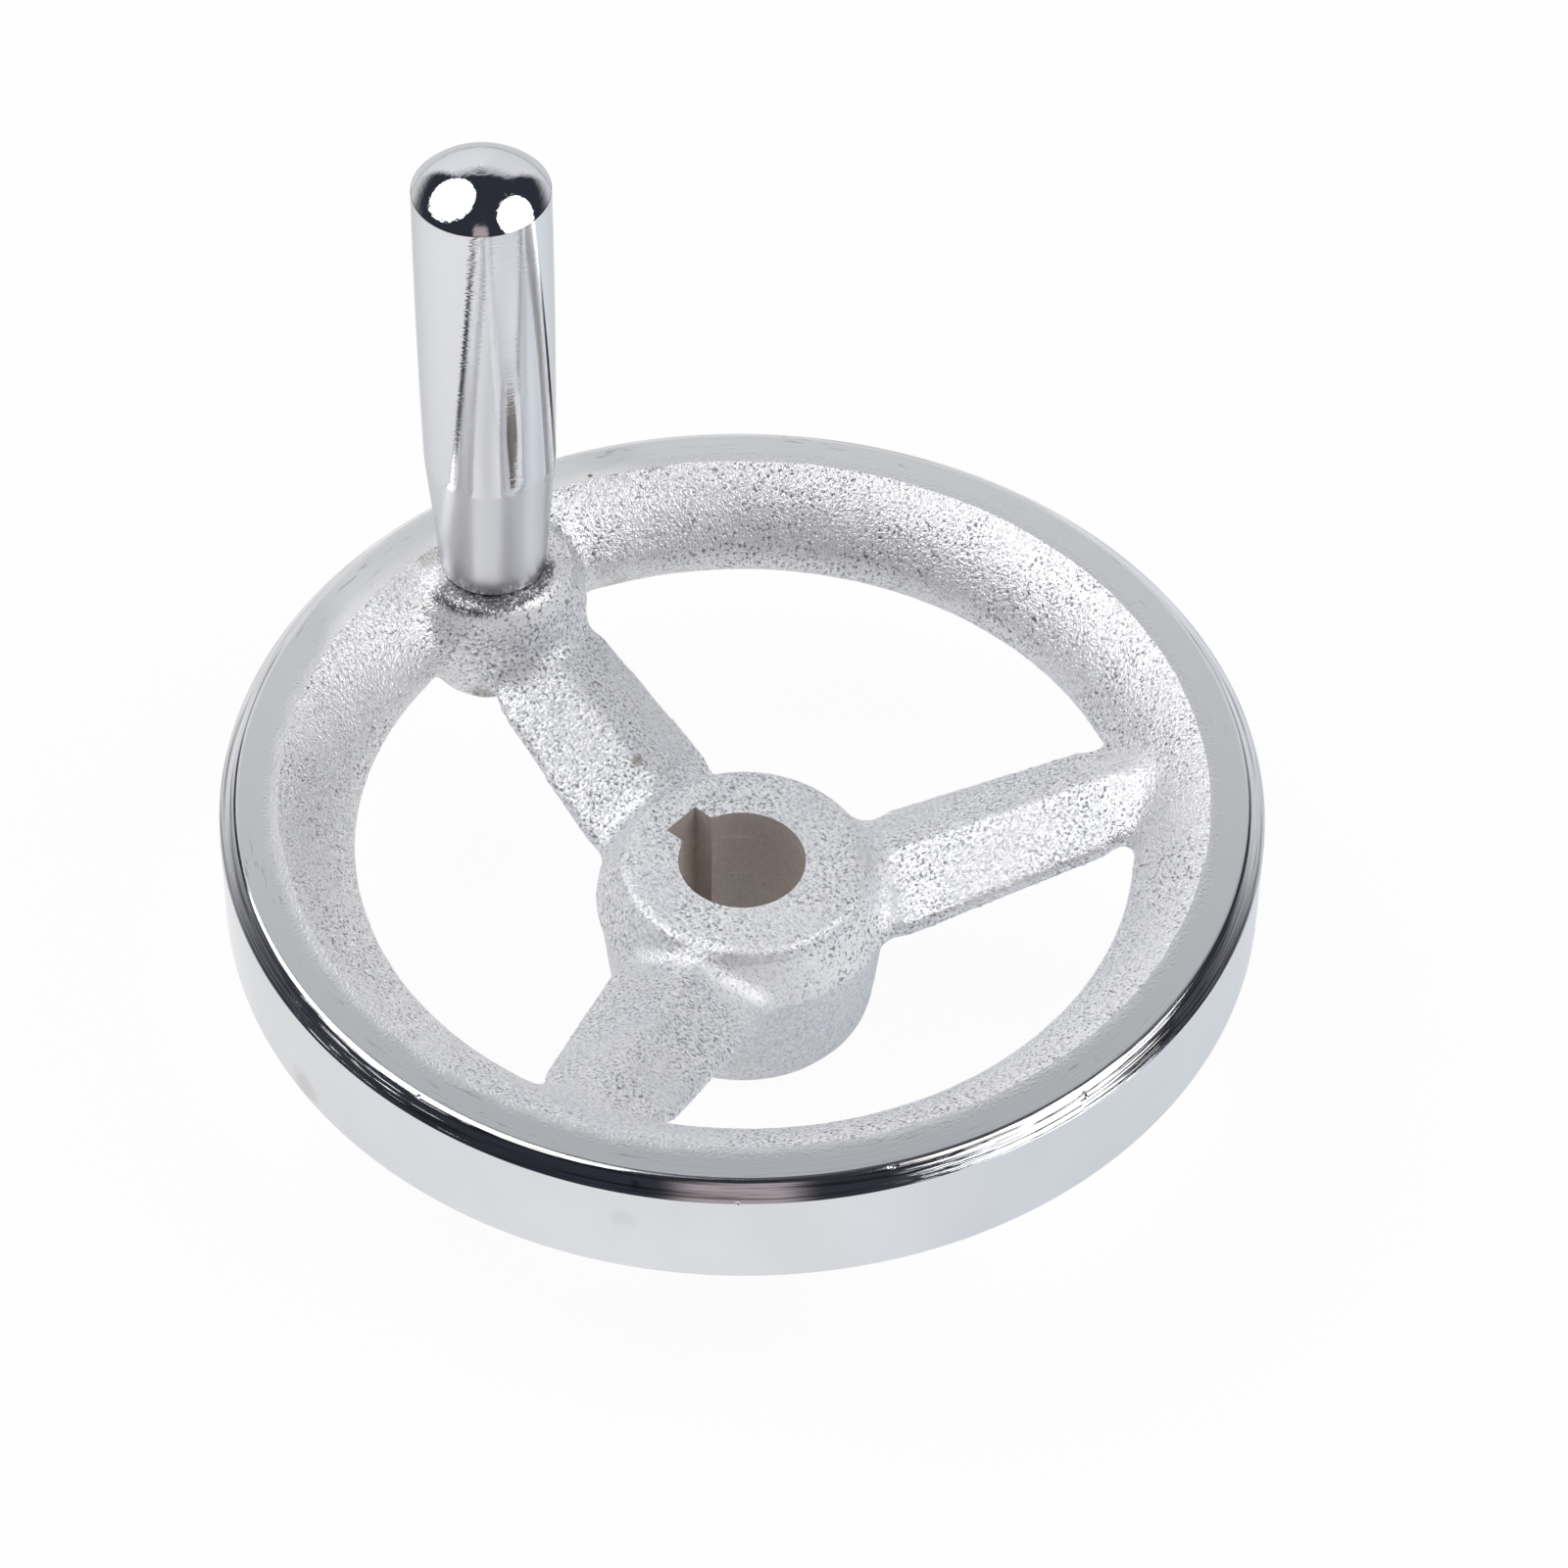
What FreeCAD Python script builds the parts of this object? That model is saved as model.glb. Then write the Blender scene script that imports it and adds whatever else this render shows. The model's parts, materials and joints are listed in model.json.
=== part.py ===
"""Machine handwheel, 96.8 mm across, with a revolving handle.

The wheel is one casting: a rim with a turned outside and top, three ridged spokes that rise
from the hub to the rim, a hub with a keyed bore, and a boss that carries the handle.
A spindle is screwed into the boss. The grip turns on it, and a snap ring keeps the grip on.

The frame: millimetres, +Z up along the bore, origin on the bore's axis at the hub's underside,
+X from the bore towards the handle.
"""
import FreeCAD, Part
import math
import os
import Sketcher

from FreeCAD import Placement, Rotation, Vector

# Driving dimensions, in millimetres and degrees. Levels are heights over the hub's underside.
SIZES = {
    # rim
    "outer_diameter": 96.8,
    "overall_height": 29.4,
    "rim_height": 12.4,
    "rim_width": 11.95,
    "rim_land_width": 3.45,
    "rim_edge_width": 1.5,
    "rim_edge_height": 1.4,
    "rim_edge_round": 0.8,
    "rim_foot_edge_width": 0.7,
    "rim_foot_edge_height": 0.9,
    "rim_nose_radius": 2.8,
    "rim_nose_drop": 0.7,
    "rim_flank_radius": 14.0,
    # hub
    "hub_length": 19.0,
    "hub_top_diameter": 22.8,
    "hub_top_round": 0.8,
    "hub_parting_level": 14.0,
    "hub_parting_diameter": 28.5,
    "hub_step_width": 0.7,
    "hub_step_height": 0.6,
    "hub_foot_diameter": 24.1,
    "hub_foot_round": 3.0,
    "bore_diameter": 12.0,
    "key_width": 4.0,
    "key_depth": 1.8,
    "key_angle": 9.0,
    # spokes
    "spoke_count": 3,
    "spoke_hub_depth": 4.25,
    "spoke_hub_drop": 0.85,
    "spoke_hub_width": 15.3,
    "spoke_hub_ridge": 3.6,
    "spoke_rim_depth": 7.4,
    "spoke_rim_rise": 1.3,
    "spoke_rim_width": 11.5,
    "spoke_rim_ridge": 2.9,
    "spoke_edge_thickness": 1.0,
    # handle boss
    "handle_inset": 10.2,
    "boss_drop": 0.5,
    "boss_top_diameter": 14.8,
    "boss_top_round": 1.0,
    "boss_seat_diameter": 10.8,
    "boss_parting_diameter": 17.4,
    "boss_foot_diameter": 15.4,
    "boss_foot_round": 1.2,
    "boss_foot_rise": 0.2,
    # grip
    "grip_length": 50.0,
    "grip_base_diameter": 10.1,
    "grip_base_edge": 0.2,
    "grip_knee_height": 14.4,
    "grip_knee_diameter": 12.5,
    "grip_top_diameter": 12.8,
    "grip_barrel_radius": 1200.0,
    "grip_dome_height": 2.9,
    "grip_end_play": 0.15,
    "drill_tip_height": 1.8,
    # spindle
    "spindle_diameter": 6.0,
    "spindle_running_gap": 0.05,
    "spindle_reach": 38.0,
    "spindle_end_edge": 0.6,
    "spindle_end_gap": 1.0,
    "spindle_foot_recess": 0.5,
    "thread_diameter": 6.0,
    "collar_diameter": 7.6,
    "collar_height": 1.5,
    "collar_gap": 0.2,
    # snap ring
    "ring_height": 0.9,
    "ring_wall": 0.9,
    "ring_seat_gap": 0.05,
    "ring_groove_depth": 0.55,
    "ring_outer_gap": 0.15,
    "ring_side_gap": 0.2,
    "ring_below_end": 4.0,
    "ring_slot_angle": 40.0,
}

# Places that several outlines share, as formulas over the sizes.
OUTER_RADIUS = "outer_diameter / 2"
RIM_MIDDLE = "overall_height - rim_height / 2"
RIM_FOOT = "overall_height - rim_height"
RIM_NOSE = RIM_MIDDLE + " - rim_nose_drop"
LAND_INNER = "outer_diameter / 2 - rim_edge_width - rim_land_width"
HANDLE_RADIUS = "outer_diameter / 2 - handle_inset"
BOSS_TOP = "overall_height - boss_drop"
RING_LEVEL = "spindle_reach - ring_below_end"

doc = FreeCAD.newDocument("handwheel")


def make_sheet():
    """Put the driving dimensions in a sheet, one named cell a row."""
    sheet = doc.addObject("Spreadsheet::Sheet", "Sizes")
    for row, (name, number) in enumerate(SIZES.items(), start=1):
        sheet.set(f"A{row}", name)
        sheet.set(f"B{row}", str(number))
        sheet.setAlias(f"B{row}", name)
    doc.recompute()


def formula(text):
    """The expression of a formula, with each size's name pointed at its cell."""
    words = text.replace("(", "( ").replace(")", " )").split()
    return " ".join("Sizes." + word if word in SIZES else word for word in words)


def number(text):
    """What a formula gives now, as a first place for the sketch solver."""
    found = doc.Sizes.evalExpression(formula(text))
    return getattr(found, "Value", found)


def new_body(name):
    """A body whose label is its node's name."""
    body = doc.addObject("PartDesign::Body", name)
    body.Label = name
    return body


def new_sketch(body, name, plane, offset=None, turn=None):
    """A sketch on one of the body's own planes, set off along its normal or turned on it."""
    sketch = body.newObject("Sketcher::SketchObject", name)
    support = next(item for item in body.Origin.OriginFeatures if item.Role == plane)
    sketch.AttachmentSupport = (support, [""])
    sketch.MapMode = "FlatFace"
    if offset:
        sketch.setExpression("AttachmentOffset.Base.z", formula(offset))
    if turn:
        sketch.AttachmentOffset = Placement(Vector(), Rotation(Vector(0, 0, 1), number(turn)))
        sketch.setExpression("AttachmentOffset.Rotation.Angle", formula(turn))
    return sketch


def bind(sketch, kind, places, text):
    """Add a constraint whose size follows a formula."""
    index = sketch.addConstraint(Sketcher.Constraint(kind, *places, number(text)))
    sketch.setExpression(f"Constraints[{index}]", formula(text))


def bind_point(sketch, edge, end, x, y):
    """Tie one end of an edge to its place, measured from the sketch's origin."""
    bind(sketch, "DistanceX", (-1, 1, edge, end), x)
    bind(sketch, "DistanceY", (-1, 1, edge, end), y)


def arc_between(start, end, radius, left):
    """An arc from start to end, with its centre on the left or right of the way between."""
    chord = end - start
    rise = math.sqrt(radius ** 2 - (chord.Length / 2) ** 2)
    side = Vector(-chord.y, chord.x, 0).normalize() * (rise if left else -rise)
    centre = (start + end) / 2 + side
    first, last = (start, end) if left else (end, start)
    angles = [math.atan2(point.y - centre.y, point.x - centre.x) for point in (first, last)]
    return Part.ArcOfCircle(Part.Circle(centre, Vector(0, 0, 1), radius), *angles)


def closed_outline(sketch, corners):
    """A closed outline through corners (x, y) or (x, y, radius, left).

    A corner with a radius starts an arc to the next corner, with its centre on the left
    of the way there, or on the right.
    """
    points = [Vector(number(corner[0]), number(corner[1]), 0) for corner in corners]
    heads = []
    tails = []
    for place, corner in enumerate(corners):
        start = points[place]
        end = points[(place + 1) % len(points)]
        if len(corner) == 2:
            edge = sketch.addGeometry(Part.LineSegment(start, end))
            heads.append((edge, 1))
            tails.append((edge, 2))
        else:
            radius, left = corner[2:]
            edge = sketch.addGeometry(arc_between(start, end, number(radius), left))
            bind(sketch, "Radius", (edge,), radius)
            heads.append((edge, 1 if left else 2))
            tails.append((edge, 2 if left else 1))
    for place, corner in enumerate(corners):
        sketch.addConstraint(Sketcher.Constraint("Coincident", *tails[place - 1], *heads[place]))
        bind_point(sketch, *heads[place], corner[0], corner[1])


def turned(body, name, sketch, axis=None):
    """Turn an outline round the body's Z axis, or round a line of its own sketch."""
    feature = body.newObject("PartDesign::Revolution", name)
    feature.Profile = sketch
    feature.ReferenceAxis = axis or (sketch, ["V_Axis"])
    return feature


def turned_body(name, corners, x="0", level="0"):
    """A body turned from one closed outline, standing at x and level."""
    body = new_body(name)
    sketch = new_sketch(body, name + "_outline", "XZ_Plane")
    closed_outline(sketch, corners)
    feature = turned(body, name + "_turning", sketch)
    body.setExpression("Placement.Base.x", formula(x))
    body.setExpression("Placement.Base.z", formula(level))
    return body, feature


def add_hub(body):
    """The hub: a cone over the parting line, and a drafted foot with a round end under it."""
    foot = "hub_foot_diameter / 2"
    parting = "hub_parting_diameter / 2"
    top = "hub_top_diameter / 2"
    sketch = new_sketch(body, "hub_outline", "XZ_Plane")
    closed_outline(sketch, [
        ("0", "0"),
        (foot, "0"),
        (parting + " - hub_step_width", "hub_parting_level - hub_step_height"),
        (parting, "hub_parting_level"),
        (top, "hub_length"),
        ("0", "hub_length"),
    ])
    turned(body, "hub_turning", sketch)


def add_rim(body):
    """The rim: turned land, outside and edges, with a cast round on the inside."""
    sketch = new_sketch(body, "rim_outline", "XZ_Plane")
    corners = [
        (LAND_INNER, "overall_height"),
        (OUTER_RADIUS + " - rim_edge_width", "overall_height"),
        (OUTER_RADIUS, "overall_height - rim_edge_height"),
        (OUTER_RADIUS, RIM_FOOT + " + rim_foot_edge_height"),
        (OUTER_RADIUS + " - rim_foot_edge_width", RIM_FOOT),
        (LAND_INNER, RIM_FOOT),
    ]
    points = [Vector(number(x), number(y), 0) for x, y in corners]
    for start, end in zip(points, points[1:]):
        sketch.addGeometry(Part.LineSegment(start, end))
    for edge, (x, y) in enumerate(corners[:-1]):
        bind_point(sketch, edge, 1, x, y)
    last = len(points) - 2
    bind_point(sketch, last, 2, *corners[-1])
    for edge in range(last):
        sketch.addConstraint(Sketcher.Constraint("Coincident", edge, 2, edge + 1, 1))

    nose_x = OUTER_RADIUS + " - rim_width + rim_nose_radius"
    nose_centre = Vector(number(nose_x), number(RIM_NOSE), 0)
    nose_radius = number("rim_nose_radius")
    # The solver moves the ends of the nose to where it meets the flanks smoothly.
    lean = math.radians(45)
    joint = nose_centre + Vector(-math.cos(lean), math.sin(lean), 0) * nose_radius
    joint_low = nose_centre + Vector(-math.cos(lean), -math.sin(lean), 0) * nose_radius
    flank_radius = number("rim_flank_radius")
    lower = sketch.addGeometry(arc_between(points[-1], joint_low, flank_radius, False))
    nose_circle = Part.Circle(nose_centre, Vector(0, 0, 1), nose_radius)
    nose = sketch.addGeometry(Part.ArcOfCircle(nose_circle, math.pi - lean, math.pi + lean))
    upper = sketch.addGeometry(arc_between(joint, points[0], flank_radius, False))
    sketch.addConstraint(Sketcher.Constraint("Coincident", last, 2, lower, 2))
    sketch.addConstraint(Sketcher.Constraint("Coincident", upper, 1, 0, 1))
    sketch.addConstraint(Sketcher.Constraint("Tangent", lower, 1, nose, 2))
    sketch.addConstraint(Sketcher.Constraint("Tangent", nose, 1, upper, 2))
    bind(sketch, "Radius", (nose,), "rim_nose_radius")
    bind(sketch, "Radius", (lower,), "rim_flank_radius")
    bind(sketch, "Radius", (upper,), "rim_flank_radius")
    bind_point(sketch, nose, 3, nose_x, RIM_NOSE)
    turned(body, "rim_turning", sketch)


def spoke_section(body, name, offset, middle, width, ridge):
    """A spoke's section: a ridge over and under two blunt side edges."""
    side = width + " / 2"
    blunt = "spoke_edge_thickness / 2"
    sketch = new_sketch(body, name, "YZ_Plane", offset=offset)
    closed_outline(sketch, [
        ("0", middle + " + " + ridge),
        ("-( " + side + " )", middle + " + " + blunt),
        ("-( " + side + " )", middle + " - " + blunt),
        ("0", middle + " - " + ridge),
        (side, middle + " - " + blunt),
        (side, middle + " + " + blunt),
    ])
    return sketch


def add_spokes(body):
    """The spokes, each from inside the hub up to inside the rim, spread evenly round the bore."""
    inner = spoke_section(body, "spoke_hub_section", "hub_parting_diameter / 2 - spoke_hub_depth",
                          "hub_parting_level - spoke_hub_drop", "spoke_hub_width", "spoke_hub_ridge")
    outer = spoke_section(body, "spoke_rim_section", OUTER_RADIUS + " - spoke_rim_depth",
                          RIM_MIDDLE + " + spoke_rim_rise", "spoke_rim_width", "spoke_rim_ridge")
    loft = body.newObject("PartDesign::AdditiveLoft", "spoke")
    loft.Profile = inner
    loft.Sections = [outer]
    loft.Ruled = True
    pattern = body.newObject("PartDesign::PolarPattern", "spokes")
    pattern.Originals = [loft]
    pattern.Axis = (next(item for item in body.Origin.OriginFeatures if item.Role == "Z_Axis"), [""])
    pattern.Angle = 360
    pattern.setExpression("Occurrences", formula("spoke_count"))
    body.Tip = pattern


def add_boss(body):
    """The handle's boss at the rim end of the first spoke."""
    top = "boss_top_diameter / 2"
    foot = "boss_foot_diameter / 2"
    floor = RIM_FOOT + " + boss_foot_rise"
    sketch = new_sketch(body, "boss_outline", "XZ_Plane")
    closed_outline(sketch, [
        (HANDLE_RADIUS, floor),
        (HANDLE_RADIUS + " + " + foot + " - boss_foot_round", floor, "boss_foot_round", True),
        (HANDLE_RADIUS + " + " + foot, floor + " + boss_foot_round"),
        (HANDLE_RADIUS + " + boss_parting_diameter / 2", RIM_MIDDLE),
        (HANDLE_RADIUS + " + " + top, BOSS_TOP + " - boss_top_round", "boss_top_round", True),
        (HANDLE_RADIUS + " + " + top + " - boss_top_round", BOSS_TOP),
        (HANDLE_RADIUS, BOSS_TOP),
    ])
    axis_edge = len(sketch.Geometry)
    turned(body, "boss_turning", sketch, (sketch, [f"Edge{axis_edge}"]))


def cut_through(body, name, sketch):
    """Cut upwards from a sketch through all of the body over it."""
    before = body.Tip
    pocket = body.newObject("PartDesign::Pocket", name)
    pocket.Profile = sketch
    pocket.Type = "ThroughAll"
    pocket.Reversed = True
    doc.recompute()
    if pocket.Shape.Volume >= before.Shape.Volume:
        raise RuntimeError(name + " cuts nothing")


def cut_bore(body):
    """The bore and its keyway."""
    circle = new_sketch(body, "bore_circle", "XY_Plane")
    edge = circle.addGeometry(Part.Circle(Vector(), Vector(0, 0, 1), number("bore_diameter / 2")))
    circle.addConstraint(Sketcher.Constraint("Coincident", edge, 3, -1, 1))
    bind(circle, "Radius", (edge,), "bore_diameter / 2")
    cut_through(body, "bore", circle)
    slot = new_sketch(body, "keyway_outline", "XY_Plane", turn="key_angle")
    closed_outline(slot, [
        ("0", "-( key_width / 2 )"),
        ("bore_diameter / 2 + key_depth", "-( key_width / 2 )"),
        ("bore_diameter / 2 + key_depth", "key_width / 2"),
        ("0", "key_width / 2"),
    ])
    cut_through(body, "keyway", slot)


def handle_circle(body, name, radius, offset=None):
    """A circle on the handle's axis."""
    circle = new_sketch(body, name, "XY_Plane", offset=offset)
    centre = Vector(number(HANDLE_RADIUS), 0, 0)
    edge = circle.addGeometry(Part.Circle(centre, Vector(0, 0, 1), number(radius)))
    circle.addConstraint(Sketcher.Constraint("PointOnObject", edge, 3, -1))
    bind(circle, "DistanceX", (-1, 1, edge, 3), HANDLE_RADIUS)
    bind(circle, "Radius", (edge,), radius)
    return circle


def cut_handle_seat(body):
    """The spot face that clears the rim's flank for the grip, and the hole for the spindle's thread."""
    seat = handle_circle(body, "seat_circle", "boss_seat_diameter / 2", offset=BOSS_TOP)
    cut_through(body, "seat", seat)
    thread = handle_circle(body, "thread_circle", "thread_diameter / 2")
    cut_through(body, "thread_hole", thread)


def round_edge(body, name, radius, level, rounding):
    """Round the circular edge of the last feature at this radius and level."""
    doc.recompute()
    wanted = number(radius)
    height = number(level)
    base = body.Tip
    names = []
    for index, edge in enumerate(base.Shape.Edges, start=1):
        if not isinstance(edge.Curve, Part.Circle):
            continue
        if abs(edge.Curve.Radius - wanted) < 1e-4 and abs(edge.Curve.Center.z - height) < 1e-4:
            names.append(f"Edge{index}")
    fillet = body.newObject("PartDesign::Fillet", name)
    fillet.Base = (base, names)
    fillet.setExpression("Radius", formula(rounding))


def make_wheel():
    """The casting with its machined rim and bore."""
    body = new_body("wheel")
    add_hub(body)
    round_edge(body, "hub_top_rounding", "hub_top_diameter / 2", "hub_length", "hub_top_round")
    round_edge(body, "hub_foot_rounding", "hub_foot_diameter / 2", "0", "hub_foot_round")
    add_rim(body)
    round_edge(body, "rim_edge_rounding", OUTER_RADIUS + " - rim_edge_width", "overall_height", "rim_edge_round")
    add_spokes(body)
    add_boss(body)
    cut_bore(body)
    cut_handle_seat(body)
    return body


def make_grip():
    """The handle's grip: a domed sleeve with a blind bore, a recess for the collar and a ring groove."""
    bore = "spindle_diameter / 2 + spindle_running_gap"
    bore_end = "spindle_reach + spindle_end_gap - grip_end_play"
    recess = "collar_diameter / 2 + collar_gap"
    recess_end = "collar_height + collar_gap - grip_end_play"
    groove = "spindle_diameter / 2 - ring_groove_depth + ring_seat_gap + ring_wall + ring_outer_gap"
    groove_start = RING_LEVEL + " - grip_end_play - ring_side_gap"
    groove_end = RING_LEVEL + " - grip_end_play + ring_height + ring_side_gap"
    base = "grip_base_diameter / 2"
    dome = "( grip_top_diameter ^ 2 / 4 + grip_dome_height ^ 2 ) / ( 2 * grip_dome_height )"
    corners = [
        (recess, "0"),
        (base + " - grip_base_edge", "0"),
        (base, "grip_base_edge"),
        ("grip_knee_diameter / 2", "grip_knee_height", "grip_barrel_radius", True),
        ("grip_top_diameter / 2", "grip_length - grip_dome_height", dome, True),
        ("0", "grip_length"),
        ("0", bore_end + " + drill_tip_height"),
        (bore, bore_end),
        (bore, groove_end),
        (groove, groove_end),
        (groove, groove_start),
        (bore, groove_start),
        (bore, recess_end),
        (recess, recess_end),
    ]
    body, _ = turned_body("handle_grip", corners, x=HANDLE_RADIUS, level=BOSS_TOP + " + grip_end_play")
    return body


def make_spindle():
    """The pin that the grip turns on: a screwed tail, a collar on the boss and a ring groove."""
    pin = "spindle_diameter / 2"
    tail = "thread_diameter / 2"
    tail_end = "spindle_foot_recess + boss_foot_rise - rim_height + boss_drop"
    groove = pin + " - ring_groove_depth"
    corners = [
        ("0", tail_end),
        (tail + " - spindle_end_edge", tail_end),
        (tail, tail_end + " + spindle_end_edge"),
        (tail, "0"),
        ("collar_diameter / 2", "0"),
        ("collar_diameter / 2", "collar_height"),
        (pin, "collar_height"),
        (pin, RING_LEVEL + " - ring_seat_gap"),
        (groove, RING_LEVEL + " - ring_seat_gap"),
        (groove, RING_LEVEL + " + ring_height + ring_seat_gap"),
        (pin, RING_LEVEL + " + ring_height + ring_seat_gap"),
        (pin, "spindle_reach - spindle_end_edge"),
        (pin + " - spindle_end_edge", "spindle_reach"),
        ("0", "spindle_reach"),
    ]
    body, _ = turned_body("handle_spindle", corners, x=HANDLE_RADIUS, level=BOSS_TOP)
    return body


def make_snap_ring():
    """The split ring in the spindle's groove, which the grip's own groove runs round."""
    inside = "spindle_diameter / 2 - ring_groove_depth + ring_seat_gap"
    outside = inside + " + ring_wall"
    corners = [
        (inside, "0"),
        (outside, "0"),
        (outside, "ring_height"),
        (inside, "ring_height"),
    ]
    body, turning = turned_body("snap_ring", corners, x=HANDLE_RADIUS, level=BOSS_TOP + " + " + RING_LEVEL)
    turning.setExpression("Angle", formula("360 - ring_slot_angle"))
    return body


def check_and_write(bodies):
    """Stop on any failed feature or bad solid, then write one STEP file a body."""
    doc.recompute()
    for item in doc.Objects:
        if "Invalid" in item.State or "Error" in item.State:
            raise RuntimeError(item.Name + " failed")
    os.makedirs("parts", exist_ok=True)
    for body in bodies:
        shape = body.Shape
        if shape.isNull() or not shape.isValid() or len(shape.Solids) != 1:
            raise RuntimeError(body.Label + " is not one valid solid")
    for body in bodies:
        body.Shape.exportStep(f"parts/{body.Label}.step")
        print(body.Label, round(body.Shape.Volume, 1), "mm3")


make_sheet()
check_and_write([make_wheel(), make_grip(), make_spindle(), make_snap_ring()])
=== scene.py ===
"""The looks of a chromed machine handwheel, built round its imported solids.

The wheel's casting is one sandy chromed piece with its rim, bore and keyway turned and cut clean.
The grip is a polished turning. The spindle and the snap ring inside it keep their own solids.
Everything is in metres, with +Z up the bore and +X from the bore towards the handle.
"""
import json
import math

import bmesh
import bpy
from mathutils import Matrix, Vector


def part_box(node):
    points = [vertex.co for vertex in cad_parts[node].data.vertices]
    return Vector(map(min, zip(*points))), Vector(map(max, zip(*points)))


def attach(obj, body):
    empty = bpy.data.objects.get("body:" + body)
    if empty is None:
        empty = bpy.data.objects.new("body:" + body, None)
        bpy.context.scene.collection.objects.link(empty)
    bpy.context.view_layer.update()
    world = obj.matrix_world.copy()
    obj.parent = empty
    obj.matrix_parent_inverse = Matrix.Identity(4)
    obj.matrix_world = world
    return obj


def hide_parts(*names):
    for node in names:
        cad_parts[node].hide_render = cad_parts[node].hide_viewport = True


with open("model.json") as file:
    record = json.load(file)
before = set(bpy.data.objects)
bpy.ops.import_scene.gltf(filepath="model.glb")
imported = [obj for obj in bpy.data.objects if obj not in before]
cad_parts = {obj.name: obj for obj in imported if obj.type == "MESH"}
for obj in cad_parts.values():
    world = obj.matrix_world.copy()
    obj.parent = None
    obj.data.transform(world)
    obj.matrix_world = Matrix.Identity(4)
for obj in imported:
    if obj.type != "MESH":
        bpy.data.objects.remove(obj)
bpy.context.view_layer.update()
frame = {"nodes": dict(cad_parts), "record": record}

MM = 0.001

# Places on the solids
WHEEL_LOW, WHEEL_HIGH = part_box("wheel")
GRIP_LOW, GRIP_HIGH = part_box("handle_grip")
MOUNTS = {mount["name"]: mount for mount in frame["record"]["mounts"]}
BORE_RADIUS = MOUNTS["shaft_bore"]["dims"]["r_mm"] * MM
HUB_TOP = MOUNTS["hub_top"]["pos_m"][2]
RIM_RADIUS = WHEEL_HIGH.y
RIM_TOP = WHEEL_HIGH.z
RIM_HEIGHT = 12.4 * MM
RIM_FOOT = RIM_TOP - RIM_HEIGHT
RIM_MIDDLE = RIM_TOP - RIM_HEIGHT / 2
BOSS_TOP = RIM_TOP - 0.5 * MM
HANDLE_X = (GRIP_LOW.x + GRIP_HIGH.x) / 2
KNEE_LEVEL = GRIP_LOW.z + 14.4 * MM
DOME_HEIGHT = 2.9 * MM
DOME_LEVEL = GRIP_HIGH.z - DOME_HEIGHT

# The turned part of the rim
LAND_INNER = 43.45 * MM
EDGE_WIDTH = 1.5 * MM
EDGE_HEIGHT = 1.4 * MM
EDGE_ROUND = 0.8 * MM
FOOT_EDGE_WIDTH = 0.7 * MM
FOOT_EDGE_HEIGHT = 0.9 * MM
TURNING_STEPS = 512

# The keyway, and the hole for the spindle with the cut round it that clears the grip
KEY_WIDTH = 4.0 * MM
KEY_DEPTH = 1.8 * MM
KEY_ANGLE = math.radians(9)
THREAD_RADIUS = 3.01 * MM
SEAT_RADIUS = 5.4 * MM

# The casting's skin, and the step that the mould's parting left round the hub
SKIN_VOXEL = 0.4 * MM
PARTING_LEVEL = 14.0 * MM
PARTING_RADIUS = 14.25 * MM
PARTING_SHOWS = (math.radians(153), math.radians(207))

# Between these distances from the bore's axis the pattern had fillets
ROOTS_FROM = 10.5 * MM
ROOTS_TO = 43.0 * MM

# How far out and how steeply the boss's top falls away from the grip's foot
SHOULDER_START = 6.5 * MM
SHOULDER_END = 9 * MM
SHOULDER_SLOPE = 0.58

# Points nearer than this are one point
MERGE = 1e-7

# The order of the finishes on the wheel's faces
CAST = 0
TURNED = 1
BORED = 2

# The camera of the photograph, which looks at a point on the bore's axis
FRAME_SIDE = 1600
FOCAL_PIXELS = 6048.1
SENSOR_WIDTH = 36
CAMERA_DISTANCE = 550 * MM
CAMERA_HEIGHT_ANGLE = math.radians(47.386)
CAMERA_TARGET = Vector((0, 0, 27.53 * MM))
CAMERA_YAW = math.radians(0.3982)
CAMERA_PITCH = math.radians(-0.1521)
CAMERA_ROLL = math.radians(-0.5918)

# How far the object is turned about its bore, seen from over the camera
OBJECT_TURN = math.radians(129.2)

# Azimuths on the object of the photograph's right and of its far side
PHOTO_RIGHT = -OBJECT_TURN
PHOTO_FAR = math.pi / 2 - OBJECT_TURN

# How far the mould lay off the bore's axis, along the photograph's width
MOULD_SHIFT = Matrix.Rotation(-OBJECT_TURN, 3, "Z") @ Vector((0.2 * MM, 0, 0))

# Stains on the casting and on the turned rim: a place and a reach in mm, and how strongly they show
CAST_STAINS = [
    ((16.3, -0.3, 18.9), 0.75, 0.7),
    ((35.1, -12.3, 21.0), 1.8, 0.30),
    ((42.3, 5.0, 29.0), 1.6, 0.35),
    ((37.5, 7.7, 18.4), 1.8, 0.50),
    ((33.0, 5.7, 18.3), 1.6, 0.45),
]
RIM_STAINS = [
    ((3.0, 48.3, 19.2), 2.4, 0.22),
    ((-30.5, 36.5, 28.4), 0.6, 0.75),
    ((41.2, -14.1, 29.4), 0.3, 0.9),
    ((-30.3, 37.8, 24.5), 1.5, 0.10),
]

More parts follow.
